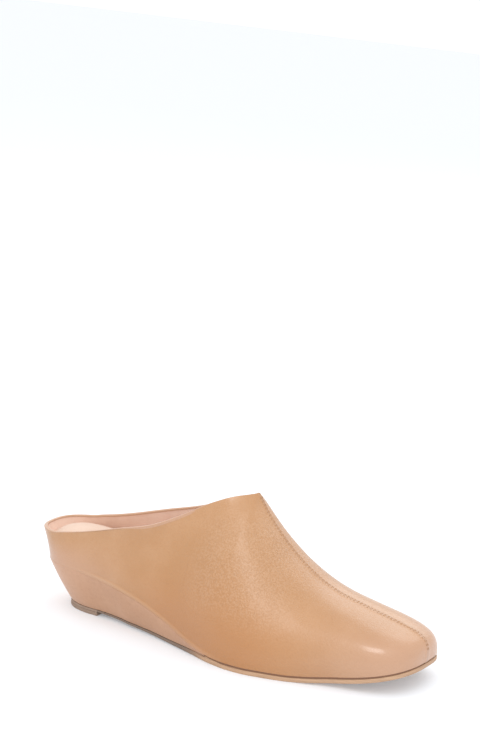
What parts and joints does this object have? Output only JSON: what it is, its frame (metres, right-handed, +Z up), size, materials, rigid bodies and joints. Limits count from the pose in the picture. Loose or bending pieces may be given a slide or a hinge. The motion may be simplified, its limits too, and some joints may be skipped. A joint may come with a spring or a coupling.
{
  "type": "wedge mule",
  "caption": "Women's closed-toe wedge mule for the right foot, smooth tan leather, low collar at the heel rising to a high throat, centre-front seam, covered wedge.",
  "frame": {"origin": "centre of the shoe's footprint box on the floor", "axes": "+X towards the toe, -Y the outer side of the foot, +Z up"},
  "size_m": [0.253, 0.0878, 0.0887],
  "materials": {
    "upper": "smooth tan leather with a satin sheen",
    "wedge": "smooth tan leather cover, satin",
    "insole": "matte padded sock, pale pinkish tan",
    "outsole": "matte tan edge with a brown tread",
    "top_piece": "matte dark brown"
  },
  "bodies": {
    "root": {"upper": "upper", "wedge": "wedge", "insole": "insole", "outsole": "outsole", "top_piece": "top_piece"}
  },
  "joints": []
}
